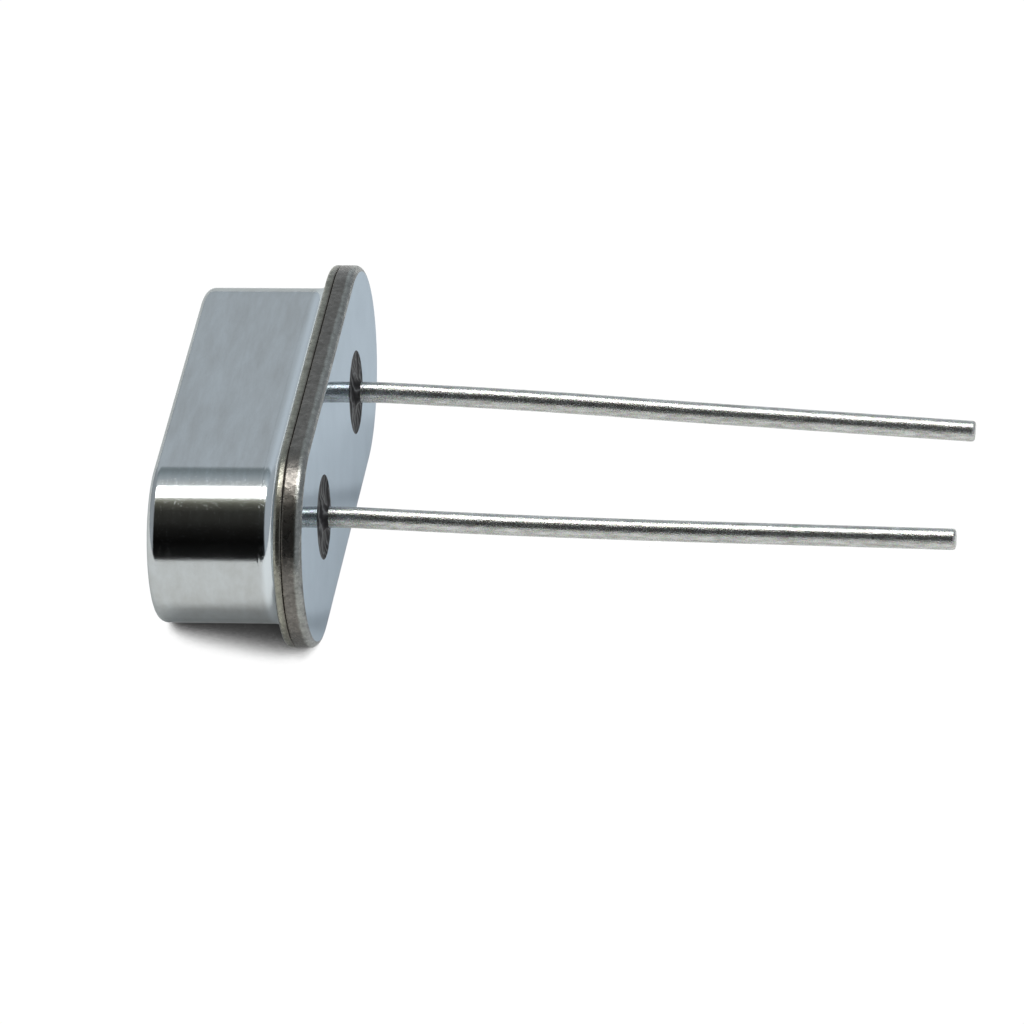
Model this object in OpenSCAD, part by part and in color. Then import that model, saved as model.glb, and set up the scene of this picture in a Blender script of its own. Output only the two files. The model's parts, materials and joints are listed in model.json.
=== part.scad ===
// Two-lead quartz crystal in a low, welded metal can, lying on one flat side.
// Every piece is drawn upright: seating face of the base at z = 0, can upwards, leads downwards,
// the long axis along x. lying() then lays the whole crystal down as it comes to rest, with the
// leads towards +X, the long axis along Y, the floor at Z = 0 and the origin below its middle.

/* [Can] */
// Distance between the centres of the can's two round ends
straight_l = 6.5; // [5.4:0.05:8]
// Width of the can across its flat sides
can_w = 3.6; // [3:0.02:4.3]
// Height from the seating face to the top of the can
body_h = 3.37; // [2.8:0.01:13.5]
// Thickness of the drawn sheet
sheet_t = 0.18; // [0.13:0.01:0.19]
// Radius of the rounded edge round the top of the can
shoulder_r = 0.2; // [0.2:0.01:0.5]
// Radius where the can's wall turns out into its flange
neck_r = 0.3; // [0.1:0.01:0.32]

/* [Flange] */
// How far the flange stands out beyond the can's wall
flange_reach = 0.5; // [0.4:0.01:0.7]
// Radius of the can flange's outer edge, away from the seam
flange_edge_r = 0.08; // [0.04:0.01:0.08]
// Radius of both edges that meet at the welded seam
seam_edge_r = 0.04; // [0.02:0.01:0.04]

/* [Base] */
// Thickness of the base at its flange
base_t = 0.42; // [0.3:0.02:0.6]
// Radius of the base's outer edge, round the seating face
base_edge_r = 0.15; // [0.05:0.01:0.2]
// Height of the boss that stands up inside the can
boss_h = 0.5; // [0.3:0.05:0.8]
// Gap between the boss and the can's wall
boss_gap = 0.06; // [0.03:0.01:0.15]
// Radius of the boss's upper edge
boss_edge_r = 0.12; // [0.05:0.01:0.2]

/* [Glass seals] */
// Diameter of each glass seal
seal_d = 1.8; // [1.5:0.05:2.1]
// Depth of the dish that the glass forms in the seating face
dish_depth = 0.05; // [0.02:0.01:0.1]
// Height and width of the glass collar that climbs each lead
collar = 0.12; // [0.05:0.01:0.2]

/* [Leads] */
// Distance between the two leads
lead_pitch = 4.88; // [4.6:0.01:5.1]
// Diameter of the lead wire
lead_d = 0.45; // [0.38:0.01:0.5]
// Length of each lead outside the seating face
lead_l = 13.35; // [11.2:0.05:20]
// Radius round the cut end of each lead
tip_r = 0.07; // [0.02:0.01:0.15]
// Diameter of the flat head on each lead's inner end
head_d = 0.8; // [0.6:0.05:1]
// Thickness of that head
head_t = 0.12; // [0.08:0.01:0.2]
// Clear height between the glass and the head
head_rise = 0.2; // [0.1:0.05:0.4]

/* [Lead bends] */
// Angles by which lead 1 turns towards the floor in its three slight bends, from the base out
lead_1_turns = [2.8, -1, -0.4]; // [-6:0.1:6]
// The same angles for lead 2
lead_2_turns = [3.1, 1.5, -0.5]; // [-6:0.1:6]
// Straight run of wire before each bend
bend_runs = [0.25, 1.35, 0.6]; // [0.2:0.05:2]
// Length of wire in each bend
bend_lengths = [0.6, 3.4, 1.6]; // [0.4:0.1:3.5]

/* [Crystal] */
// Room between each clip's lip and the can's end wall, from which the blank's length follows
end_room = 0.6; // [0.5:0.05:1]
// Width of the quartz blank
blank_w = 1.8; // [1.4:0.1:2]
// Thickness of the quartz blank
blank_t = 0.18; // [0.1:0.01:0.4]
// Thickness of each silver electrode
film_t = 0.02; // [0.01:0.01:0.03]
// Length of the electrode's pad
pad_l = 4.2; // [3:0.1:5]
// Width of the electrode's pad
pad_w = 1.3; // [0.8:0.1:1.3]
// Width of the tab from the pad to the blank's end
tab_w = 0.7; // [0.4:0.1:0.8]

/* [Clips] */
// Thickness of the clip's ribbon
clip_t = 0.1; // [0.06:0.01:0.12]
// Width of the clip's ribbon
clip_w = 1.2; // [0.9:0.05:1.3]
// Height of the clip from its foot to the shelf under the blank
clip_rise = 0.5; // [0.35:0.05:0.7]
// Length of the blank that each shelf carries
shelf_l = 0.7; // [0.5:0.05:0.9]
// Gap between the blank's end and the clip's upturned lip
lip_gap = 0.12; // [0.05:0.01:0.15]
// Height of the lip above the shelf
lip_h = 0.42; // [0.3:0.02:0.6]
// Inner radius of the clip's bends
clip_bend_r = 0.08; // [0.05:0.01:0.1]
// How far the adhesive stands above the blank
glue_h = 0.16; // [0.1:0.01:0.25]

/* [Hidden] */
$fn = 96;

// How far a cutting shape runs on past the face that it cuts through
cut = 0.5;
// How far a wire's straight runs reach into its bends, and how much thinner the bends are drawn, so
// that the two overlap cleanly
joint_l = 0.05;
hair = 0.002;

can_r = can_w / 2;
flange_r = can_r + flange_reach;
inner_r = can_r - sheet_t;
rim_t = base_t + sheet_t;
boss_r = inner_r - boss_gap;
boss_top = base_t + boss_h;
lead_r = lead_d / 2;
seal_r = seal_d / 2;

// The blank fills the can's inner length but for its clips and the room at their ends
blank_l = straight_l + 2 * (inner_r - end_room - clip_t - lip_gap);

// Heights of the inner pieces, each standing on the one before
head_top = boss_top + head_rise + head_t;
shelf_z = head_top + clip_rise;
blank_z = shelf_z + film_t;
film_z = blank_z + blank_t;

// The crystal rests on the can's top edge and on the rim of its flange, and the floor is the line
// that touches both rounded edges. Their centres are given as [height above the seating face,
// distance from the middle plane].
rim_edge = [rim_t - flange_edge_r, flange_r - flange_edge_r];
top_edge = [body_h - shoulder_r, can_r - shoulder_r];
edge_step = top_edge - rim_edge;
rest_tilt = atan2(-edge_step[1], edge_step[0]) + asin((flange_edge_r - shoulder_r) / norm(edge_step));

// How far the seating face's middle stands above the floor once the crystal lies down
rest_height = flange_edge_r + rim_edge[0] * sin(rest_tilt) + rim_edge[1] * cos(rest_tilt);

// Reach of the lying crystal from the seating face's middle, towards the leads and towards the can
lead_reach = max([for (turns = [lead_1_turns, lead_2_turns])
    let (end = wire_end(turns, lead_l), lean = rest_tilt - end[2])
    end[0] * cos(rest_tilt) + end[1] * sin(rest_tilt) + lead_r * sin(lean)]);
can_reach = top_edge[0] * cos(rest_tilt) + top_edge[1] * sin(rest_tilt) + shoulder_r;

module lying() {
    translate([(can_reach - lead_reach) / 2, 0, rest_height])
        rotate([0, -rest_tilt, 0]) rotate([-90, 0, 90]) children();
}

// ---- Outlines ----

// Sweeps a half section round the can's long outline. In the section, x is the distance from the
// middle plane and y is the height.
module sweep_round() {
    for (side = [-1, 1])
        translate([side * straight_l / 2, 0, 0])
            rotate([0, 0, -90 * side]) rotate_extrude(angle = 180) children();
    translate([-straight_l / 2, 0, 0]) rotate([90, 0, 90])
        linear_extrude(height = straight_l) {
            children();
            mirror([1, 0]) children();
        }
}

// Slab from the middle plane out to a radius, with a rounded lower and upper outer edge
module slab(r, z0, z1, low_r, high_r) {
    inner = r - max(low_r, high_r);
    translate([0, z0]) square([inner, z1 - z0]);
    translate([0, z0 + low_r]) square([r, z1 - z0 - low_r - high_r]);
    if (low_r > 0) {
        translate([0, z0]) square([r - low_r, z1 - z0 - high_r]);
        translate([r - low_r, z0 + low_r]) circle(r = low_r);
    }
    if (high_r > 0) {
        translate([0, z0 + low_r]) square([r - high_r, z1 - z0 - low_r]);
        translate([r - high_r, z1 - high_r]) circle(r = high_r);
    }
}

// Hat shape: a round-shouldered crown whose side curves out into a brim at foot_z
module hat(r, foot_z, top_z, crown_r, brim_r) {
    slab(r, foot_z, top_z, 0, crown_r);
    difference() {
        translate([0, foot_z]) square([r + brim_r, brim_r]);
        translate([r + brim_r, foot_z + brim_r]) circle(r = brim_r);
    }
}

// Rounded rectangle about the origin
module rounded_plate(l, w, r) {
    square([l - 2 * r, w], center = true);
    square([l, w - 2 * r], center = true);
    for (x = [-1, 1], y = [-1, 1])
        translate([x * (l / 2 - r), y * (w / 2 - r)]) circle(r = r);
}

// ---- Can and base ----

// The cover is drawn from one sheet: top, wall and flange in one piece
module cover() {
    color("lightsteelblue") sweep_round() difference() {
        union() {
            hat(can_r, rim_t, body_h, shoulder_r, neck_r);
            slab(flange_r, base_t, rim_t, seam_edge_r, flange_edge_r);
        }
        hat(inner_r, base_t, body_h - sheet_t, shoulder_r - sheet_t, neck_r + sheet_t);
    }
}

module base() {
    color("silver") difference() {
        sweep_round() {
            slab(flange_r, 0, base_t, base_edge_r, seam_edge_r);
            slab(boss_r, base_t, boss_top, 0, boss_edge_r);
        }
        for (side = [-1, 1])
            translate([side * lead_pitch / 2, 0, -cut]) cylinder(r = seal_r, h = boss_top + 2 * cut);
    }
}

// Places what belongs to lead 1 (side -1) or lead 2 (side 1)
module at_lead(side) {
    translate([side * lead_pitch / 2, 0, 0]) children();
}

// Glass fused between the base and one lead: dished below, with a collar climbing the lead
module glass_seal() {
    dish_w = seal_r - lead_r - collar;
    dish_r = (dish_w * dish_w / 4 + dish_depth * dish_depth) / (2 * dish_depth);
    color("dimgray") rotate_extrude() {
        difference() {
            translate([lead_r, 0]) square([seal_r - lead_r, boss_top]);
            translate([seal_r - dish_w / 2, dish_depth - dish_r]) circle(r = dish_r);
        }
        difference() {
            translate([lead_r, -collar]) square([collar, collar]);
            translate([lead_r + collar, -collar]) circle(r = collar);
        }
    }
}

// ---- Leads ----

// Radius of bend number i when it turns by the given angle
function bend_r(i, angle) = bend_lengths[i] / (abs(angle) * PI / 180);

// Where a wire of length l ends after the bends from number i on: distance along its first run,
// distance to the side that a positive angle turns to, and the angle it has turned by then
function wire_end(turns, l, i = 0, along = 0, aside = 0, turned = 0) =
    i == len(turns)
    ? [along + l * cos(turned), aside + l * sin(turned), turned]
    : let (run = bend_runs[i], arc = bend_lengths[i], chord = turned + turns[i] / 2,
           chord_l = turns[i] == 0 ? arc : 2 * bend_r(i, turns[i]) * sin(abs(turns[i]) / 2))
      wire_end(turns, l - run - arc, i + 1,
               along + run * cos(turned) + chord_l * cos(chord),
               aside + run * sin(turned) + chord_l * sin(chord),
               turned + turns[i]);

// Arc of wire that starts at the origin going up and turns towards +y
module wire_bend(angle, r) {
    translate([0, r, 0]) rotate([90, 0, -90])
        rotate_extrude(angle = angle) translate([r, 0]) circle(r = lead_r - hair);
}

// Straight run of wire up to its cut end, with the end's edge rounded
module wire_tail(l) {
    translate([0, 0, -joint_l]) rotate_extrude() intersection() {
        slab(lead_r, 0, l + joint_l, 0, tip_r);
        square([lead_d, l + joint_l]);
    }
}

// Wire of length l that starts at the origin going up, passes through its bends and ends straight
module bent_wire(turns, l, i = 0) {
    if (i == len(turns)) {
        wire_tail(l);
    } else if (turns[i] == 0) {
        reach = bend_runs[i] + bend_lengths[i];
        translate([0, 0, -joint_l]) cylinder(r = lead_r, h = reach + joint_l);
        translate([0, 0, reach]) bent_wire(turns, l - reach, i + 1);
    } else {
        run = bend_runs[i];
        angle = turns[i];
        r = bend_r(i, angle);
        translate([0, 0, -joint_l]) cylinder(r = lead_r, h = run + 2 * joint_l);
        translate([0, 0, run]) {
            mirror([0, angle < 0 ? 1 : 0, 0]) wire_bend(abs(angle), r);
            translate([0, sign(angle) * r * (1 - cos(angle)), r * sin(abs(angle))])
                rotate([-angle, 0, 0]) bent_wire(turns, l - run - bend_lengths[i], i + 1);
        }
    }
}

module lead(turns) {
    color("gainsboro") {
        cylinder(r = lead_r, h = head_top);
        translate([0, 0, head_top - head_t]) cylinder(d = head_d, h = head_t);
        mirror([0, 0, 1]) bent_wire(turns, lead_l);
    }
}

// ---- Crystal and clips ----

// Quarter ring of ribbon round the origin, in the quadrant that starts at the given angle
module ribbon_bend(start) {
    rotate(start) intersection() {
        difference() {
            circle(r = clip_bend_r + clip_t);
            circle(r = clip_bend_r);
        }
        square(clip_bend_r + clip_t);
    }
}

// Side view of the ribbon, from the lead outwards: foot, riser, shelf and upturned lip
module clip_side() {
    bend = clip_bend_r + clip_t;
    shelf_x = blank_l / 2 - shelf_l;
    lip_x = blank_l / 2 + lip_gap;
    foot_x = lead_pitch / 2 - head_d / 2;
    translate([foot_x, head_top]) square([shelf_x - clip_bend_r - foot_x, clip_t]);
    translate([shelf_x - clip_bend_r, head_top + bend]) ribbon_bend(270);
    translate([shelf_x, head_top + bend]) square([clip_t, clip_rise - 2 * bend]);
    translate([shelf_x + bend, shelf_z - bend]) ribbon_bend(90);
    translate([shelf_x + bend, shelf_z - clip_t]) square([lip_x - clip_bend_r - shelf_x - bend, clip_t]);
    translate([lip_x - clip_bend_r, shelf_z + clip_bend_r]) ribbon_bend(270);
    translate([lip_x, shelf_z + clip_bend_r]) square([clip_t, lip_h - clip_bend_r]);
}

// Clip at the blank's end on the given side, welded on its lead's head
module clip(side) {
    color("lightgray") mirror([side < 0 ? 1 : 0, 0, 0])
        translate([0, clip_w / 2, 0]) rotate([90, 0, 0]) linear_extrude(height = clip_w) clip_side();
}

module quartz_blank() {
    color("aliceblue") translate([0, 0, blank_z])
        linear_extrude(height = blank_t) square([blank_l, blank_w], center = true);
}

// Pad in the middle of one face, with a tab that runs to the blank's end on the given side
module electrode(side) {
    color("white") translate([0, 0, side > 0 ? film_z : blank_z - film_t])
        linear_extrude(height = film_t) {
            rounded_plate(pad_l, pad_w, pad_w / 4);
            translate([side > 0 ? 0 : -blank_l / 2, -tab_w / 2]) square([blank_l / 2, tab_w]);
        }
}

// Drop of conductive adhesive that fills the gap to the lip and laps over the blank's end
module adhesive(side) {
    drop_top = film_z + film_t + glue_h;
    drop_w = clip_w - 2 * clip_t;
    drop_x = blank_l / 2 - shelf_l / 2;
    drop_h = drop_top - shelf_z;
    drop_r = (drop_w * drop_w / 4 + drop_h * drop_h) / (2 * drop_h);
    color("darkgray") difference() {
        intersection() {
            mirror([side < 0 ? 1 : 0, 0, 0]) translate([drop_x, 0, drop_top - drop_r])
                rotate([0, 90, 0]) cylinder(r = drop_r, h = blank_l / 2 + lip_gap - drop_x);
            translate([-blank_l, -clip_w / 2, shelf_z]) cube([2 * blank_l, clip_w, drop_h]);
        }
        quartz_blank();
        electrode(1);
        electrode(-1);
        clip(side);
    }
}

lying() cover();
lying() base();
lying() at_lead(-1) glass_seal();  // glass_seal_1
lying() at_lead(1) glass_seal();  // glass_seal_2
lying() at_lead(-1) lead(lead_1_turns);  // lead_1
lying() at_lead(1) lead(lead_2_turns);  // lead_2
lying() clip(-1);  // clip_1
lying() clip(1);  // clip_2
lying() quartz_blank();
lying() electrode(1);  // electrode_upper
lying() electrode(-1);  // electrode_lower
lying() adhesive(-1);  // adhesive_1
lying() adhesive(1);  // adhesive_2
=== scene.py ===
"""Looks of a two-lead quartz crystal in a low metal can that lies on its flat side.

Every visible piece is modelled upright, in millimetres, as the part's source draws it: the seating
face at z = 0, the can above it, the leads below it and the long axis along x. lay_down() then turns
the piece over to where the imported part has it, in metres.
"""

import json
import math

import bmesh
import bpy
from mathutils import Matrix, Vector


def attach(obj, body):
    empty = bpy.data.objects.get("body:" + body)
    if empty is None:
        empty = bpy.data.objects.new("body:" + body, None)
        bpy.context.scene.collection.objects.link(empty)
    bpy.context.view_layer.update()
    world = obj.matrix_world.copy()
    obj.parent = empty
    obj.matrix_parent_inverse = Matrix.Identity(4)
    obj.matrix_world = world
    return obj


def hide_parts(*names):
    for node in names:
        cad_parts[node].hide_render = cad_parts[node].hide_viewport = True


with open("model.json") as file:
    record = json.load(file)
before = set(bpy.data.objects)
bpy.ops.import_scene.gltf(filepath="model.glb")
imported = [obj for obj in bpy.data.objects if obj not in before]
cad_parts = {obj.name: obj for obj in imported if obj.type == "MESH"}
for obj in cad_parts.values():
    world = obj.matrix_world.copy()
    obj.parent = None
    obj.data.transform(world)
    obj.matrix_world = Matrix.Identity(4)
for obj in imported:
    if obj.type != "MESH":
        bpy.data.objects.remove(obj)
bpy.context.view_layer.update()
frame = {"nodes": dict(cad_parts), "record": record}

MM = 0.001
MICRON = 1e-6

# ---- Sizes in millimetres ----

STRAIGHT = 6.5          # between the centres of the can's round ends
CAN_R = 1.8             # half the can's width
BODY_H = 3.37           # seating face to the can's top
SHEET_T = 0.18          # drawn sheet
SHOULDER_R = 0.2        # round the can's top
NECK_R = 0.3            # where the wall turns into the flange
FLANGE_R = 2.3          # half the flange's width
FLANGE_EDGE_R = 0.08    # flange's outer edge, on the can's side
SEAM_EDGE_R = 0.04      # both edges at the welded seam
BASE_T = 0.42           # base at its flange
BASE_EDGE_R = 0.15      # base's outer edge, round the seating face
BOSS_R = 1.56           # boss inside the can
BOSS_H = 0.5
BOSS_EDGE_R = 0.12
SEAL_R = 0.9
DISH_DEPTH = 0.05       # hollow of the glass
COLLAR = 0.12           # glass that creeps up the lead
PITCH = 4.88            # between the two leads
LEAD_R = 0.225
LEAD_L = 13.35          # outside the seating face, along the wire
TIP_R = 0.07            # rounding of the cut end
HEAD_R = 0.4            # flat head inside the can
HEAD_T = 0.12
HEAD_RISE = 0.2         # from the boss to the head
BEND_RUNS = (0.25, 1.35, 0.6)       # straight wire before each bend
BEND_LENGTHS = (0.6, 3.4, 1.6)
LEAD_TURNS = {"lead_1": (2.8, -1.0, -0.4), "lead_2": (3.1, 1.5, -0.5)}  # degrees at each bend

RIM_T = BASE_T + SHEET_T
DRAW_RING_Z = 0.98      # faint ring round the can, above the neck
DRAW_RING_W = 0.03      # half its width
DRAW_RING_FADE = 0.15   # over which the wall turns brighter below it
BOSS_TOP = BASE_T + BOSS_H
HEAD_TOP = BOSS_TOP + HEAD_RISE + HEAD_T

# ---- Fineness of the meshes ----

END_STEPS = 48          # in a quarter of a round end
WIRE_STEPS = 48         # round a wire
SEAL_STEPS = 96         # round a glass seal
SHOULDER_STEPS = 16     # from here on, across each rounded edge
NECK_STEPS = 12
BASE_EDGE_STEPS = 12
FLANGE_EDGE_STEPS = 8
BOSS_EDGE_STEPS = 6
TIP_STEPS = 6
SEAM_STEPS = 5
DISH_STEPS = 16         # across the glass, from rim to collar
COLLAR_STEPS = 10
BEND_STEP = 0.25        # length of wire between two small turns of a bend
LEAST_BEND_STEPS = 4
WELD = 1e-4             # points nearer than this are one
NEAR = 1e-3             # how close a point has to be to a place to be picked there
FACING = 0.9            # how far a face has to point a way to be picked for it
EDGE_REACH = 0.05       # faces this near the flange's outline are its edge

FLAT_WEIGHT = 80        # how much the large flat faces rule the shading at an edge

# Edges sharper than these angles, in degrees, stay sharp
CAN_SHARP = 50
BASE_SHARP = 40
SEAL_SHARP = 40
WIRE_SHARP = 60


# ---- Modelling helpers ----

def deselect_all():
    if bpy.context.mode != "OBJECT":
        bpy.ops.object.mode_set(mode="OBJECT")
    bpy.ops.object.select_all(action="DESELECT")


def start_editing(piece, kind):
    deselect_all()
    piece.select_set(True)
    bpy.context.view_layer.objects.active = piece
    bpy.ops.object.mode_set(mode="EDIT")
    bpy.ops.mesh.select_mode(type=kind)
    bpy.ops.mesh.select_all(action="DESELECT")


def stop_editing():
    bpy.ops.object.mode_set(mode="OBJECT")


def pick_edges(piece, wanted):
    """Selects just the edges for which wanted(end, other_end) is true."""
    bpy.ops.mesh.select_mode(type="EDGE")
    bpy.ops.mesh.select_all(action="DESELECT")
    mesh = bmesh.from_edit_mesh(piece.data)
    for edge in mesh.edges:
        if wanted(edge.verts[0].co, edge.verts[1].co):
            edge.select_set(True)
    bmesh.update_edit_mesh(piece.data)


def pick_faces(piece, wanted):
    """Selects just the faces for which wanted(centre, normal) is true."""
    bpy.ops.mesh.select_mode(type="FACE")
    bpy.ops.mesh.select_all(action="DESELECT")
    mesh = bmesh.from_edit_mesh(piece.data)
    for face in mesh.faces:
        if wanted(face.calc_center_median(), face.normal):
            face.select_set(True)
    bmesh.update_edit_mesh(piece.data)


def is_near(a, b):
    return abs(a - b) < NEAR


def off_axis(point):
    """Distance of a point from the line between the centres of the round ends."""
    return math.hypot(max(abs(point.x) - STRAIGHT / 2, 0), point.y)


def ring_at(radius, height):
    """Test for the edges of the long outline at that radius and height."""
    def wanted(a, b):
        return all(is_near(p.z, height) and is_near(off_axis(p), radius) for p in (a, b))
    return wanted


def bevel(radius, steps):
    bpy.ops.mesh.bevel(offset=radius, offset_type="OFFSET", segments=steps, profile=0.5, affect="EDGES")


def weld_points():
    bpy.ops.mesh.select_all(action="SELECT")
    bpy.ops.mesh.remove_doubles(threshold=WELD)
    bpy.ops.mesh.normals_make_consistent(inside=False)


def add_block(name, radius, low, high):
    """Slab with the can's outline at the given radius: a box whose upright edges are rounded fully."""
    deselect_all()
    bpy.ops.mesh.primitive_cube_add(size=1, location=(0, 0, (low + high) / 2))
    piece = bpy.context.object
    piece.name = name
    piece.scale = (STRAIGHT + 2 * radius, 2 * radius, high - low)
    bpy.ops.object.transform_apply(location=True, rotation=True, scale=True)
    start_editing(piece, "EDGE")
    pick_edges(piece, lambda a, b: is_near(a.x, b.x) and is_near(a.y, b.y))
    bevel(radius, END_STEPS)
    weld_points()
    stop_editing()
    return piece


def step_in(piece, height, radius, rise, faces_up=True):
    """Insets the end face at a height to the given radius and draws it out along z by rise."""
    sign = 1 if faces_up else -1
    pick_faces(piece, lambda c, n: is_near(c.z, height) and n.z * sign > FACING)
    bpy.ops.mesh.inset(thickness=radius, use_even_offset=True)
    bpy.ops.mesh.extrude_region_move(TRANSFORM_OT_translate={"value": (0, 0, rise)})


def add_modifier(piece, kind, **settings):
    deselect_all()
    piece.select_set(True)
    bpy.context.view_layer.objects.active = piece
    modifier = piece.modifiers.new(kind.title(), kind)
    for name, value in settings.items():
        setattr(modifier, name, value)
    bpy.ops.object.modifier_apply(modifier=modifier.name)


def smooth(piece, sharp_from):
    """Shades smooth over rounded edges, with flat faces kept truly flat."""
    deselect_all()
    piece.select_set(True)
    bpy.context.view_layer.objects.active = piece
    bpy.ops.object.shade_smooth_by_angle(angle=math.radians(sharp_from))
    add_modifier(piece, "WEIGHTED_NORMAL", mode="FACE_AREA", weight=FLAT_WEIGHT,
                 keep_sharp=True)


def seat_place():
    """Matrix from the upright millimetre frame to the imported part, from its seating face mount."""
    mount = next(m for m in frame["record"]["mounts"] if m["name"] == "seating_face")
    out = Vector(mount["axis"])
    long_axis = Vector((0, 1, 0))
    down = -out.cross(long_axis)
    turn = Matrix((long_axis, down, -out)).transposed().to_4x4()
    return Matrix.Translation(Vector(mount["pos_m"])) @ turn @ Matrix.Scale(MM, 4)


def keep_upright_places(piece):
    """Stores each point's upright place in millimetres, which the materials' patterns follow."""
    places = piece.data.attributes.new("upright", "FLOAT_VECTOR", "POINT")
    for place, vertex in zip(places.data, piece.data.vertices):
        place.vector = vertex.co


def lay_down(piece, node):
    """Turns a finished piece to its place and hides the CAD node it stands for."""
    keep_upright_places(piece)
    deselect_all()
    piece.select_set(True)
    bpy.context.view_layer.objects.active = piece
    piece.matrix_world = seat_place()
    bpy.ops.object.transform_apply(location=True, rotation=True, scale=True)
    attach(piece, "root")
    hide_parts(node)


# ---- Pieces ----

def make_cover():
    """The deep-drawn can with its flange, hollow under an even sheet."""
    piece = add_block("drawn_cover", FLANGE_R, BASE_T, RIM_T)
    start_editing(piece, "FACE")
    step_in(piece, RIM_T, FLANGE_R - CAN_R, BODY_H - RIM_T)
    pick_edges(piece, ring_at(CAN_R, BODY_H))
    bevel(SHOULDER_R, SHOULDER_STEPS)
    pick_edges(piece, ring_at(CAN_R, RIM_T))
    bevel(NECK_R, NECK_STEPS)
    # Only the outer skin stays, and the sheet gets its thickness inwards
    pick_faces(piece, lambda c, n: c.z < RIM_T - NEAR
               and (n.z < -FACING or off_axis(c) > FLANGE_R - EDGE_REACH))
    bpy.ops.mesh.delete(type="FACE")
    stop_editing()
    add_modifier(piece, "SOLIDIFY", thickness=SHEET_T, offset=-1, use_even_offset=True)
    start_editing(piece, "EDGE")
    pick_edges(piece, ring_at(FLANGE_R, RIM_T))
    bevel(FLANGE_EDGE_R, FLANGE_EDGE_STEPS)
    pick_edges(piece, ring_at(FLANGE_R, BASE_T))
    bevel(SEAM_EDGE_R, SEAM_STEPS)
    stop_editing()
    smooth(piece, CAN_SHARP)
    return piece


def make_base():
    """The thick plate with its boss, bored for the two glass seals."""
    piece = add_block("welded_base", FLANGE_R, 0, BASE_T)
    start_editing(piece, "FACE")
    step_in(piece, BASE_T, FLANGE_R - BOSS_R, BOSS_H)
    pick_edges(piece, ring_at(BOSS_R, BOSS_TOP))
    bevel(BOSS_EDGE_R, BOSS_EDGE_STEPS)
    pick_edges(piece, ring_at(FLANGE_R, 0))
    bevel(BASE_EDGE_R, BASE_EDGE_STEPS)
    pick_edges(piece, ring_at(FLANGE_R, BASE_T))
    bevel(SEAM_EDGE_R, SEAM_STEPS)
    stop_editing()
    for side in (-1, 1):
        # The cutter for a seal's bore stands well out of both faces
        deselect_all()
        bpy.ops.mesh.primitive_cylinder_add(vertices=SEAL_STEPS, radius=SEAL_R, depth=4 * BOSS_TOP,
                                            location=(side * PITCH / 2, 0, BOSS_TOP / 2))
        cutter = bpy.context.object
        add_modifier(piece, "BOOLEAN", operation="DIFFERENCE", object=cutter, solver="EXACT")
        bpy.data.objects.remove(cutter)
    smooth(piece, BASE_SHARP)
    return piece


def seal_profile():
    """Radius and height of the glass surface from its rim to the lead: a dish, then the collar."""
    dish_w = SEAL_R - LEAD_R - COLLAR
    dish_r = (dish_w ** 2 / 4 + DISH_DEPTH ** 2) / (2 * DISH_DEPTH)
    middle = SEAL_R - dish_w / 2
    half_angle = math.asin(dish_w / 2 / dish_r)
    points = []
    for step in range(1, DISH_STEPS + 1):
        angle = half_angle * (1 - 2 * step / DISH_STEPS)
        points.append((middle + dish_r * math.sin(angle),
                       DISH_DEPTH - dish_r + dish_r * math.cos(angle)))
    for step in range(1, COLLAR_STEPS + 1):
        angle = math.pi / 2 * step / COLLAR_STEPS
        points.append((LEAD_R + COLLAR - COLLAR * math.sin(angle), -COLLAR + COLLAR * math.cos(angle)))
    return points


def make_seal(name):
    """One glass bead with the bore for its lead, dished round a collar on the lead side."""
    deselect_all()
    bpy.ops.mesh.primitive_cylinder_add(vertices=SEAL_STEPS, radius=SEAL_R, depth=BOSS_TOP,
                                        location=(0, 0, BOSS_TOP / 2))
    piece = bpy.context.object
    piece.name = name
    bpy.ops.object.transform_apply(location=True, rotation=True, scale=True)
    start_editing(piece, "FACE")
    radius, height = SEAL_R, 0.0
    pick_faces(piece, lambda c, n: n.z < -FACING)
    for next_radius, next_height in seal_profile():
        bpy.ops.mesh.inset(thickness=radius - next_radius, use_even_offset=True)
        bpy.ops.transform.translate(value=(0, 0, next_height - height))
        radius, height = next_radius, next_height
    pick_faces(piece, lambda c, n: n.z > FACING and is_near(c.z, BOSS_TOP))
    bpy.ops.mesh.inset(thickness=SEAL_R - LEAD_R, use_even_offset=True)
    pick_faces(piece, lambda c, n: math.hypot(c.x, c.y) < NEAR)
    bpy.ops.mesh.bridge_edge_loops()
    stop_editing()
    return piece


def bend_steps(turns):
    """Length and turn of each short step of wire outside the seating face."""
    steps = []
    left = LEAD_L
    for run, arc, turn in zip(BEND_RUNS, BEND_LENGTHS, turns):
        steps.append((run, 0))
        count = max(LEAST_BEND_STEPS, round(arc / BEND_STEP))
        for _ in range(count):
            steps.append((arc / count, math.radians(turn) / count))
        left -= run + arc
    steps.append((left, 0))
    return steps


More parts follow.
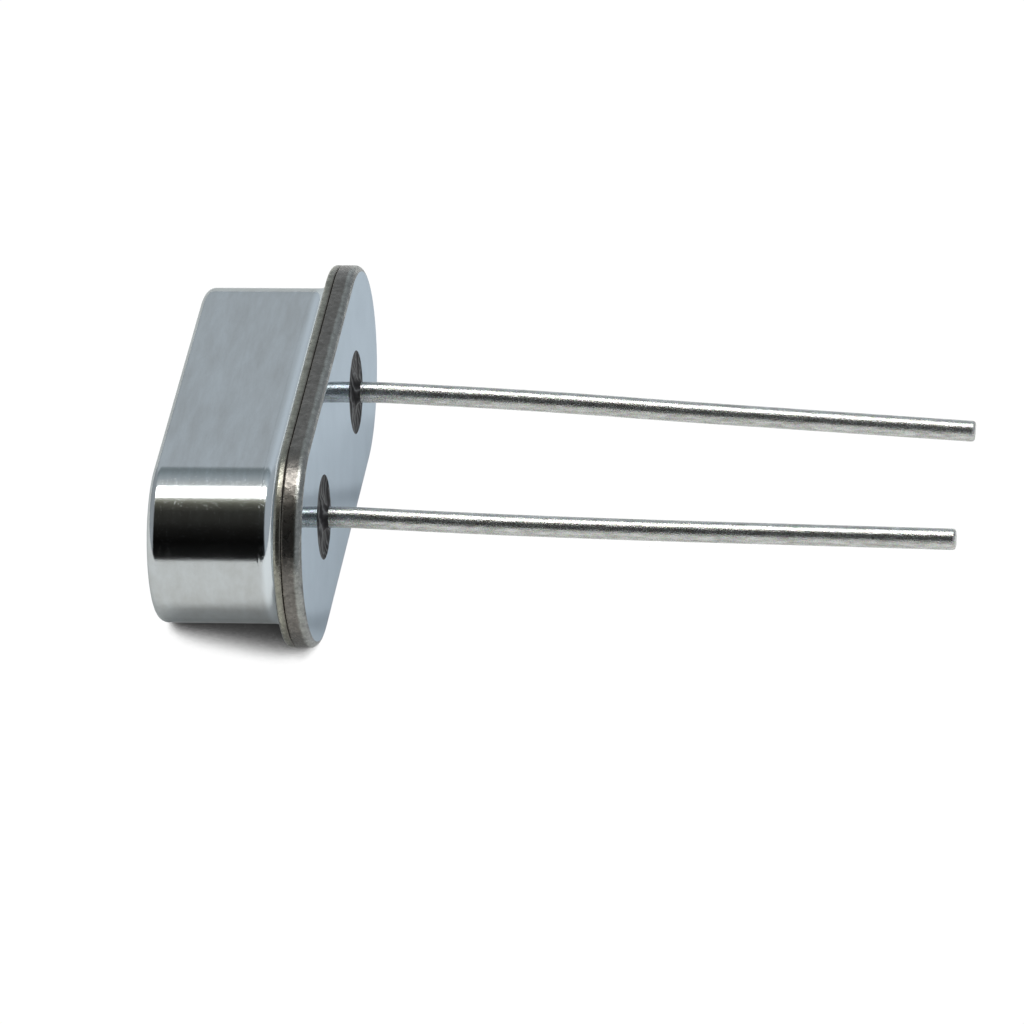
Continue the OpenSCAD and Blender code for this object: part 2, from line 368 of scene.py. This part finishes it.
def make_lead(name, turns):
    """One wire from its flat head inside the can to its cut end, with its slight bends."""
    deselect_all()
    bpy.ops.mesh.primitive_cylinder_add(vertices=WIRE_STEPS, radius=HEAD_R, depth=HEAD_T,
                                        location=(0, 0, HEAD_TOP - HEAD_T / 2))
    piece = bpy.context.object
    piece.name = name
    bpy.ops.object.transform_apply(location=True, rotation=True, scale=True)
    start_editing(piece, "FACE")
    pick_faces(piece, lambda c, n: n.z < -FACING)
    bpy.ops.mesh.inset(thickness=HEAD_R - LEAD_R, use_even_offset=True)
    bpy.ops.mesh.extrude_region_move(TRANSFORM_OT_translate={"value": (0, 0, HEAD_T - HEAD_TOP)})
    tip = Vector((0, 0, 0))
    turned = 0.0
    for length, turn in bend_steps(turns):
        heading = turned + turn / 2
        move = length * Vector((0, math.sin(heading), -math.cos(heading)))
        bpy.ops.mesh.extrude_region_move(TRANSFORM_OT_translate={"value": move})
        tip += move
        if turn:
            bpy.ops.transform.rotate(value=-turn, orient_axis="X", center_override=tip)
        turned += turn
    bpy.ops.mesh.select_mode(type="EDGE")
    bpy.ops.mesh.region_to_loop()
    bevel(TIP_R, TIP_STEPS)
    stop_editing()
    return piece


def place_at_lead(piece, side):
    """Moves a piece from the middle to one lead's place: side is -1 or 1."""
    deselect_all()
    piece.select_set(True)
    bpy.context.view_layer.objects.active = piece
    piece.location.x = side * PITCH / 2
    bpy.ops.object.transform_apply(location=True, rotation=False, scale=False)


def paint_rim(piece, rim, reach):
    """Gives the faces within reach of the flange's edge the rim's material, but never the base's face."""
    piece.data.materials.append(rim)
    for face in piece.data.polygons:
        if off_axis(face.center) > FLANGE_R - reach and face.center.z > NEAR:
            face.material_index = len(piece.data.materials) - 1


# ---- Materials ----

# The patterns of the visible pieces follow the upright place in millimetres, so a scale is so many
# grains in each millimetre. A bump's distance is the depth of that grain.

def colour(code):
    """Linear colour of an sRGB hex value such as "a0b0c0"."""
    parts = [int(code[i:i + 2], 16) / 255 for i in (0, 2, 4)]
    linear = [c / 12.92 if c <= 0.04045 else ((c + 0.055) / 1.055) ** 2.4 for c in parts]
    return (*linear, 1.0)


def set_stops(ramp, stops):
    """Fills a colour ramp with (position, linear colour) stops."""
    while len(ramp.elements) < len(stops):
        ramp.elements.new(1.0)
    for element, (position, tint) in zip(ramp.elements, stops):
        element.position = position
        element.color = (*tint[:3], 1)


def add_node(tree, kind, settings, links=()):
    """Adds a node. Settings name its input sockets, its own properties or a ramp's stops."""
    node = tree.nodes.new(kind)
    for name, value in settings.items():
        if name == "stops":
            set_stops(node.color_ramp, value)
        elif isinstance(name, int) or name in node.inputs:
            node.inputs[name].default_value = value
        else:
            setattr(node, name, value)
    for socket, source in links:
        tree.links.new(source, node.inputs[socket])
    return node


def new_material(name, settings):
    """Material with one shader of these settings. Returns it, its node tree and its shader."""
    material = bpy.data.materials.new(name)
    material.use_nodes = True
    tree = material.node_tree
    tree.nodes.clear()
    shader = add_node(tree, "ShaderNodeBsdfPrincipled", settings)
    add_node(tree, "ShaderNodeOutputMaterial", {}, [("Surface", shader.outputs["BSDF"])])
    return material, tree, shader


def grey(value):
    return (value, value, value)


def drawn_nickel():
    """Bright nickel over deep-drawn steel: mirror-like, with faint streaks along the can and fine grain."""
    material, tree, shader = new_material("drawn_nickel", {
        "Metallic": 1.0, "Roughness": 0.1, "Specular Tint": colour("d6d9da")})
    place = add_node(tree, "ShaderNodeAttribute", {"attribute_name": "upright"})
    upright = place.outputs["Vector"]
    # Streaks from the drawing die, about 1.5 mm long and 0.3 mm apart
    along = add_node(tree, "ShaderNodeMapping", {"Scale": (0.7, 2.0, 3.4)}, [("Vector", upright)])
    streaks = add_node(tree, "ShaderNodeTexNoise", {"Scale": 1.0, "Detail": 6.0, "Roughness": 0.65},
                       [("Vector", along.outputs[0])])
    tint = add_node(tree, "ShaderNodeValToRGB",
                    {"stops": [(0.3, colour("bdbfbe")), (0.5, colour("c4c7c7")), (0.7, colour("cbcfd0"))]},
                    [("Fac", streaks.outputs["Fac"])])
    # The wall's colour turns lighter below the ring, beside the neck
    split = add_node(tree, "ShaderNodeSeparateXYZ", {}, [(0, upright)])
    drawn = add_node(tree, "ShaderNodeMapRange",
                     {"interpolation_type": "SMOOTHSTEP", "From Min": DRAW_RING_Z - DRAW_RING_FADE,
                      "From Max": DRAW_RING_Z, "To Min": 1.0, "To Max": 0.0},
                     [("Value", split.outputs["Z"])])
    bright = add_node(tree, "ShaderNodeMix", {"data_type": "RGBA", 7: colour("dde3e6")},
                      [(0, drawn.outputs[0]), (6, tint.outputs["Color"])])
    tree.links.new(bright.outputs[2], shader.inputs["Base Color"])
    # Grain of the plating, 0.03 mm across
    grain = add_node(tree, "ShaderNodeTexNoise", {"Scale": 34.0, "Detail": 3.0}, [("Vector", upright)])
    # Pits about 0.015 mm across and 0.05 mm apart
    pits = add_node(tree, "ShaderNodeTexVoronoi", {"Scale": 22.0, "Randomness": 1.0},
                    [("Vector", upright)])
    pit_depth = add_node(tree, "ShaderNodeValToRGB", {"stops": [(0.0, grey(1)), (0.15, grey(0))]},
                         [("Fac", pits.outputs["Distance"])])
    # The faint ring that the drawing die leaves above the neck
    ring = add_node(tree, "ShaderNodeMath", {"operation": "SUBTRACT", 1: DRAW_RING_Z},
                    [(0, split.outputs["Z"])])
    beside = add_node(tree, "ShaderNodeMath", {"operation": "ABSOLUTE"}, [(0, ring.outputs[0])])
    groove = add_node(tree, "ShaderNodeMapRange",
                      {"From Min": 0.0, "From Max": DRAW_RING_W, "To Min": 1.0, "To Max": 0.0},
                      [("Value", beside.outputs[0])])
    fine = add_node(tree, "ShaderNodeBump", {"Strength": 1.0, "Distance": 0.9 * MICRON},
                    [("Height", grain.outputs["Fac"])])
    pitted = add_node(tree, "ShaderNodeBump", {"Strength": 1.0, "Distance": 1.3 * MICRON, "invert": True},
                      [("Height", pit_depth.outputs["Color"]), ("Normal", fine.outputs[0])])
    grooved = add_node(tree, "ShaderNodeBump", {"Strength": 1.0, "Distance": 3 * MICRON, "invert": True},
                       [("Height", groove.outputs[0]), ("Normal", pitted.outputs[0])])
    tree.links.new(grooved.outputs[0], shader.inputs["Normal"])
    return material


def welded_rim():
    """Edge of the resistance weld: heat-stained and dull, lighter and yellowish above the seam, with a
    painted reflection as a lighter band round the base's rounded edge.
    """
    material, tree, shader = new_material("welded_rim", {"Metallic": 1.0, "Roughness": 0.36})
    place = add_node(tree, "ShaderNodeAttribute", {"attribute_name": "upright"})
    upright = place.outputs["Vector"]
    split = add_node(tree, "ShaderNodeSeparateXYZ", {}, [(0, upright)])
    # Waviness of the squeezed edge, about 0.3 mm along it: it shifts the bands and dents the metal
    wander = add_node(tree, "ShaderNodeTexNoise", {"Scale": 3.0, "Detail": 3.0}, [("Vector", upright)])
    shift = add_node(tree, "ShaderNodeMath", {"operation": "MULTIPLY_ADD", 1: 0.08, 2: -0.04},
                     [(0, wander.outputs["Fac"])])
    height = add_node(tree, "ShaderNodeMath", {"operation": "ADD"},
                      [(0, split.outputs["Z"]), (1, shift.outputs[0])])
    share = add_node(tree, "ShaderNodeMath", {"operation": "DIVIDE", 1: RIM_T}, [(0, height.outputs[0])])
    # Bands across the rim, from the seating face to the flange's top; the lighter band near the bottom, over
    # the base's rounded edge, is a painted reflection
    bands = add_node(tree, "ShaderNodeValToRGB",
                     {"stops": [(0.0, colour("6c6d6c")), (0.04, colour("9b9c9a")), (0.2, colour("a1a29d")),
                                (0.28, colour("797570")), (0.6, colour("7c7873")), (0.67, colour("77726b")),
                                (0.71, colour("77726b")), (0.77, colour("8c8a80")), (0.93, colour("a09f92")),
                                (1.0, colour("8e9090"))]},
                     [("Fac", share.outputs[0])])
    # Grainy heat stain, 0.1 mm and finer
    stain = add_node(tree, "ShaderNodeTexNoise", {"Scale": 9.0, "Detail": 8.0, "Roughness": 0.7},
                     [("Vector", upright)])
    depth = add_node(tree, "ShaderNodeValToRGB",
                     {"stops": [(0.3, grey(0.55)), (0.55, grey(1)), (0.75, grey(1.3))]},
                     [("Fac", stain.outputs["Fac"])])
    tint = add_node(tree, "ShaderNodeMix", {"data_type": "RGBA", "blend_type": "MULTIPLY", 0: 1.0},
                    [(6, bands.outputs["Color"]), (7, depth.outputs["Color"])])
    tree.links.new(tint.outputs[2], shader.inputs["Base Color"])
    dull = add_node(tree, "ShaderNodeMapRange",
                    {"From Min": 0.35, "From Max": 0.7, "To Min": 0.34, "To Max": 0.22},
                    [("Value", stain.outputs["Fac"])])
    tree.links.new(dull.outputs[0], shader.inputs["Roughness"])
    wavy = add_node(tree, "ShaderNodeBump", {"Strength": 1.0, "Distance": 18 * MICRON},
                    [("Height", wander.outputs["Fac"])])
    rough = add_node(tree, "ShaderNodeBump", {"Strength": 1.0, "Distance": 5 * MICRON},
                     [("Height", stain.outputs["Fac"]), ("Normal", wavy.outputs[0])])
    tree.links.new(rough.outputs[0], shader.inputs["Normal"])
    return material


def plated_face():
    """Polished nickel plate of the base: a clear, bluish mirror with faint mottling."""
    material, tree, shader = new_material("plated_face", {
        "Metallic": 1.0, "Roughness": 0.05, "Specular Tint": colour("d4dee8")})
    place = add_node(tree, "ShaderNodeAttribute", {"attribute_name": "upright"})
    upright = place.outputs["Vector"]
    # Mottling about 1 mm across
    mottle = add_node(tree, "ShaderNodeTexNoise", {"Scale": 0.9, "Detail": 4.0}, [("Vector", upright)])
    tint = add_node(tree, "ShaderNodeValToRGB",
                    {"stops": [(0.3, colour("bac0c4")), (0.6, colour("c4cace"))]},
                    [("Fac", mottle.outputs["Fac"])])
    tree.links.new(tint.outputs["Color"], shader.inputs["Base Color"])
    # Grain of the plating, 0.05 mm across
    grain = add_node(tree, "ShaderNodeTexNoise", {"Scale": 20.0, "Detail": 2.0}, [("Vector", upright)])
    fine = add_node(tree, "ShaderNodeBump", {"Strength": 1.0, "Distance": 0.15 * MICRON},
                    [("Height", grain.outputs["Fac"])])
    tree.links.new(fine.outputs[0], shader.inputs["Normal"])
    return material


def seal_glass():
    """Dark glass fused round the lead: grey-brown, nearly matt from its grinding, with pale swirls."""
    material, tree, shader = new_material("seal_glass", {"Roughness": 0.3, "IOR": 1.5,
                                                         "Specular IOR Level": 0.01})
    place = add_node(tree, "ShaderNodeAttribute", {"attribute_name": "upright"})
    upright = place.outputs["Vector"]
    # Swirls of the melt, about 0.25 mm apart
    swirl = add_node(tree, "ShaderNodeTexWave", {"wave_type": "RINGS", "rings_direction": "SPHERICAL",
                                                 "Scale": 1.3, "Distortion": 9.0, "Detail": 4.0,
                                                 "Detail Scale": 1.4},
                     [("Vector", upright)])
    tint = add_node(tree, "ShaderNodeValToRGB",
                    {"stops": [(0.0, colour("302f30")), (0.6, colour("403f40")), (0.9, colour("525253")),
                               (1.0, colour("737374"))]},
                    [("Fac", swirl.outputs["Fac"])])
    tree.links.new(tint.outputs["Color"], shader.inputs["Base Color"])
    ripple = add_node(tree, "ShaderNodeBump", {"Strength": 1.0, "Distance": 10 * MICRON},
                      [("Height", swirl.outputs["Fac"])])
    tree.links.new(ripple.outputs[0], shader.inputs["Normal"])
    return material


def tinned_wire():
    """Hot-tinned wire: a soft silver sheen broken by short streaks and specks along the wire."""
    material, tree, shader = new_material("tinned_wire", {"Metallic": 1.0, "Roughness": 0.38})
    place = add_node(tree, "ShaderNodeAttribute", {"attribute_name": "upright"})
    # Streaks 0.3 mm long and 0.06 mm wide
    along = add_node(tree, "ShaderNodeMapping", {"Scale": (16.0, 16.0, 3.2)},
                     [("Vector", place.outputs["Vector"])])
    streaks = add_node(tree, "ShaderNodeTexNoise", {"Scale": 1.0, "Detail": 4.0, "Roughness": 0.6},
                       [("Vector", along.outputs[0])])
    tint = add_node(tree, "ShaderNodeValToRGB",
                    {"stops": [(0.32, colour("a8a8a2")), (0.5, colour("c4c4c0")), (0.66, colour("dadad8"))]},
                    [("Fac", streaks.outputs["Fac"])])
    # Specks of the tin's grain, 0.03 mm across, which glint in faint colours
    specks = add_node(tree, "ShaderNodeTexNoise", {"Scale": 32.0, "Detail": 3.0, "Roughness": 0.7},
                      [("Vector", place.outputs["Vector"])])
    glint = add_node(tree, "ShaderNodeMix", {"data_type": "RGBA", "blend_type": "OVERLAY", 0: 0.6},
                     [(6, tint.outputs["Color"]), (7, specks.outputs["Color"])])
    tree.links.new(glint.outputs[2], shader.inputs["Base Color"])
    dull = add_node(tree, "ShaderNodeMapRange",
                    {"From Min": 0.35, "From Max": 0.7, "To Min": 0.32, "To Max": 0.2},
                    [("Value", specks.outputs["Fac"])])
    tree.links.new(dull.outputs[0], shader.inputs["Roughness"])
    ridges = add_node(tree, "ShaderNodeBump", {"Strength": 1.0, "Distance": 4 * MICRON},
                      [("Height", streaks.outputs["Fac"])])
    pebbled = add_node(tree, "ShaderNodeBump", {"Strength": 1.0, "Distance": 6.5 * MICRON},
                       [("Height", specks.outputs["Fac"]), ("Normal", ridges.outputs[0])])
    tree.links.new(pebbled.outputs[0], shader.inputs["Normal"])
    return material


def grained(name, settings, dark, light, grain_mm, depth_mm):
    """Material of a hidden piece: two shades and a bump that follow a grain of a real size."""
    material, tree, shader = new_material(name, settings)
    place = add_node(tree, "ShaderNodeTexCoord", {})
    grain = add_node(tree, "ShaderNodeTexNoise", {"Scale": 1 / (grain_mm * MM), "Detail": 4.0},
                     [("Vector", place.outputs["Object"])])
    tint = add_node(tree, "ShaderNodeValToRGB", {"stops": [(0.35, colour(dark)), (0.65, colour(light))]},
                    [("Fac", grain.outputs["Fac"])])
    tree.links.new(tint.outputs["Color"], shader.inputs["Base Color"])
    bump = add_node(tree, "ShaderNodeBump", {"Strength": 1.0, "Distance": depth_mm * MM},
                    [("Height", grain.outputs["Fac"])])
    tree.links.new(bump.outputs[0], shader.inputs["Normal"])
    return material


def inner_materials():
    """Material of each piece inside the can, by node."""
    # Rolled nickel silver: satin, warm grey
    spring = grained("nickel_silver_spring", {"Metallic": 1.0, "Roughness": 0.32},
                     "a8a294", "b8b2a4", grain_mm=0.05, depth_mm=0.002)
    # Lapped quartz: a frosted, nearly clear strip
    quartz = grained("lapped_quartz", {"Roughness": 0.35, "IOR": 1.54, "Transmission Weight": 0.85},
                     "e6ebea", "f2f6f5", grain_mm=0.02, depth_mm=0.001)
    # Evaporated silver: bright, with the blank's frosting under it
    film = grained("silver_film", {"Metallic": 1.0, "Roughness": 0.22},
                   "e0dfda", "eeede8", grain_mm=0.02, depth_mm=0.0005)
    # Silver-filled epoxy: dull grey with flakes
    paste = grained("silver_epoxy", {"Metallic": 0.35, "Roughness": 0.55},
                    "8e8d8a", "b0afab", grain_mm=0.03, depth_mm=0.004)
    return {"clip_1": spring, "clip_2": spring, "quartz_blank": quartz, "electrode_upper": film,
            "electrode_lower": film, "adhesive_1": paste, "adhesive_2": paste}


# ---- Studio ----

VIEW_AZIMUTH = 2.786     # degrees from -Y towards +X
VIEW_ELEVATION = 34.195  # degrees above the floor
VIEW_ROLL = 7.821        # degrees, counter-clockwise
VIEW_DISTANCE = 199.75   # millimetres from the point aimed at
VIEW_AIM = (-1.029, -0.223, 1.758)
VIEW_LENS = 330.01       # focal length in millimetres
SENSOR = 36.0            # its width in millimetres
VIEW_NEAR = 0.005        # metres
VIEW_FAR = 20.0

PAPER_SIZE = 3.0         # metres
# The paper's darkening close under the part is a painted shadow
PAINTED_SHADOW_REACH = 8.0        # millimetres over which the part darkens the paper
PAINTED_SHADOW_SAMPLES = 16
FLOOR_LIGHT = 1.03       # glow of the paper where it is seen
FLOOR_FILL = 0.17        # glow that the part gets from it

# Strip light: how far it reaches along x, as shares of the sky, and its brightness by degrees round x
STRIP_POWER = 6.5
STRIP_MIDDLE = -0.1
STRIP_FLAT = 0.38
STRIP_END = 0.5
STRIP_BANDS = ((73, 0), (75, 1), (89, 1), (91, 0.06), (95, 0.015), (99, 0))

# Soft boxes: the same for the rest of the sky, with the colour past their ends
BAND_MIDDLE = -0.22
BAND_FLAT = 0.3
BAND_END = 0.44
SIDE_LIGHT = (0.4, 0.43, 0.46)
SKY_BANDS = ((0, (0.6, 0.65, 0.70)), (33, (0.57, 0.62, 0.67)), (37.5, (0.26, 0.30, 0.32)),
             (43, (0.255, 0.295, 0.32)), (49, (0.32, 0.37, 0.40)), (60, (0.49, 0.54, 0.58)),
             (66, (0.64, 0.68, 0.70)), (90, (0.72, 0.72, 0.68)), (94, (0.4, 0.4, 0.32)),
             (101, (0.13, 0.13, 0.105)), (112, (0.045, 0.045, 0.04)), (126, (0.032, 0.032, 0.029)),
             (138, (0.012, 0.012, 0.011)), (155, (0.003, 0.003, 0.003)), (176, (0.01, 0.01, 0.01)),
             (180, (0.15, 0.15, 0.15)))


def make_camera():
    """Long lens from the front, a little to the right and well above."""
    data = bpy.data.cameras.new("studio_camera")
    data.lens = VIEW_LENS
    data.sensor_width = SENSOR
    data.clip_start = VIEW_NEAR
    data.clip_end = VIEW_FAR
    camera = bpy.data.objects.new("studio_camera", data)
    bpy.context.collection.objects.link(camera)
    turn = (Matrix.Rotation(math.radians(VIEW_AZIMUTH), 4, "Z")
            @ Matrix.Rotation(math.radians(90 - VIEW_ELEVATION), 4, "X")
            @ Matrix.Rotation(math.radians(VIEW_ROLL), 4, "Z"))
    aim = Vector(VIEW_AIM) * MM
    camera.matrix_world = Matrix.Translation(aim) @ turn @ Matrix.Translation((0, 0, VIEW_DISTANCE * MM))
    bpy.context.scene.camera = camera


def make_floor():
    """White paper that glows evenly, with a painted shadow close under the part."""
    deselect_all()
    bpy.ops.mesh.primitive_plane_add(size=PAPER_SIZE, location=(0, 0, 0))
    floor = bpy.context.object
    floor.name = "studio_floor"
    material = bpy.data.materials.new("white_paper_with_painted_shadow")
    material.use_nodes = True
    tree = material.node_tree
    tree.nodes.clear()
    # Painted shadow: open sky is white, and the paper's glow is painted darker where the part hides most of
    # it
    open_sky = add_node(tree, "ShaderNodeAmbientOcclusion",
                        {"samples": PAINTED_SHADOW_SAMPLES, "Distance": PAINTED_SHADOW_REACH * MM})
    painted_shadow = add_node(tree, "ShaderNodeValToRGB",
                     {"stops": [(0.0, grey(0.02)), (0.1, grey(0.03)), (0.17, grey(0.11)), (0.24, grey(0.42)),
                                (0.31, grey(0.85)), (0.39, grey(1.0))]},
                     [("Fac", open_sky.outputs["AO"])])
    glow = add_node(tree, "ShaderNodeEmission", {"Strength": FLOOR_LIGHT},
                    [("Color", painted_shadow.outputs["Color"])])
    # Only the view of it is lit from within: the part sees the paper as the sky lights it
    paper = add_node(tree, "ShaderNodeBsdfPrincipled",
                     {"Base Color": colour("e6e6e4"), "Roughness": 1.0, "Specular IOR Level": 0.0,
                      "Emission Color": colour("ffffff"), "Emission Strength": FLOOR_FILL})
    ray = add_node(tree, "ShaderNodeLightPath", {})
    sheet = add_node(tree, "ShaderNodeMixShader", {},
                     [(0, ray.outputs["Is Camera Ray"]), (1, paper.outputs[0]), (2, glow.outputs[0])])
    add_node(tree, "ShaderNodeOutputMaterial", {}, [("Surface", sheet.outputs[0])])
    floor.data.materials.append(material)


def make_world():
    """Soft boxes as bands round the x axis, from the far horizon (0) over the top to the near one (180)."""
    world = bpy.data.worlds.new("studio_light")
    bpy.context.scene.world = world
    world.use_nodes = True
    tree = world.node_tree
    tree.nodes.clear()
    where = add_node(tree, "ShaderNodeTexCoord", {})
    split = add_node(tree, "ShaderNodeSeparateXYZ", {}, [(0, where.outputs["Generated"])])
    angle = add_node(tree, "ShaderNodeMath", {"operation": "ARCTAN2"},
                     [(0, split.outputs["Z"]), (1, split.outputs["Y"])])
    share = add_node(tree, "ShaderNodeMath", {"operation": "DIVIDE", 1: math.pi}, [(0, angle.outputs[0])])
    bands = add_node(tree, "ShaderNodeValToRGB",
                     {"stops": [(degrees / 180, tint) for degrees, tint in SKY_BANDS]},
                     [(0, share.outputs[0])])
    strip = add_node(tree, "ShaderNodeValToRGB",
                     {"stops": [(degrees / 180, grey(value)) for degrees, value in STRIP_BANDS]},
                     [(0, share.outputs[0])])
    # Past the ends of the bands, the sides are an even grey
    across = add_node(tree, "ShaderNodeMath", {"operation": "SUBTRACT", 1: BAND_MIDDLE},
                      [(0, split.outputs["X"])])
    side = add_node(tree, "ShaderNodeMath", {"operation": "ABSOLUTE"}, [(0, across.outputs[0])])
    fade = add_node(tree, "ShaderNodeMapRange", {"From Min": BAND_FLAT, "From Max": BAND_END},
                    [("Value", side.outputs[0])])
    sky = add_node(tree, "ShaderNodeMix", {"data_type": "RGBA", 7: (*SIDE_LIGHT, 1)},
                   [(0, fade.outputs[0]), (6, bands.outputs["Color"])])
    # The strip light is short, so rounded ends don't catch it
    along = add_node(tree, "ShaderNodeMath", {"operation": "SUBTRACT", 1: STRIP_MIDDLE},
                     [(0, split.outputs["X"])])
    off_middle = add_node(tree, "ShaderNodeMath", {"operation": "ABSOLUTE"}, [(0, along.outputs[0])])
    power = add_node(tree, "ShaderNodeMapRange",
                     {"interpolation_type": "SMOOTHSTEP", "From Min": STRIP_FLAT, "From Max": STRIP_END,
                      "To Min": STRIP_POWER, "To Max": 0.0},
                     [("Value", off_middle.outputs[0])])
    soft = add_node(tree, "ShaderNodeBackground", {"Strength": 1.0}, [("Color", sky.outputs[2])])
    bright = add_node(tree, "ShaderNodeBackground", {},
                      [("Color", strip.outputs["Color"]), ("Strength", power.outputs[0])])
    both = add_node(tree, "ShaderNodeAddShader", {}, [(0, soft.outputs[0]), (1, bright.outputs[0])])
    add_node(tree, "ShaderNodeOutputWorld", {}, [("Surface", both.outputs[0])])
    bpy.context.scene.view_settings.view_transform = "Standard"


# ---- The part ----

make_camera()
rim = welded_rim()

cover = make_cover()
cover.data.materials.append(drawn_nickel())
paint_rim(cover, rim, FLANGE_R - CAN_R - NECK_R / 2)
lay_down(cover, "cover")

base = make_base()
base.data.materials.append(plated_face())
paint_rim(base, rim, BASE_EDGE_R)
lay_down(base, "base")

glass = seal_glass()
wire = tinned_wire()
for number, side in ((1, -1), (2, 1)):
    seal = make_seal("fused_seal_%d" % number)
    seal.data.materials.append(glass)
    smooth(seal, SEAL_SHARP)
    place_at_lead(seal, side)
    lay_down(seal, "glass_seal_%d" % number)
    lead = make_lead("lead_wire_%d" % number, LEAD_TURNS["lead_%d" % number])
    lead.data.materials.append(wire)
    smooth(lead, WIRE_SHARP)
    place_at_lead(lead, side)
    lay_down(lead, "lead_%d" % number)

for name, material in inner_materials().items():
    node = frame["nodes"][name]
    node.data.materials.clear()
    node.data.materials.append(material)

make_floor()
make_world()
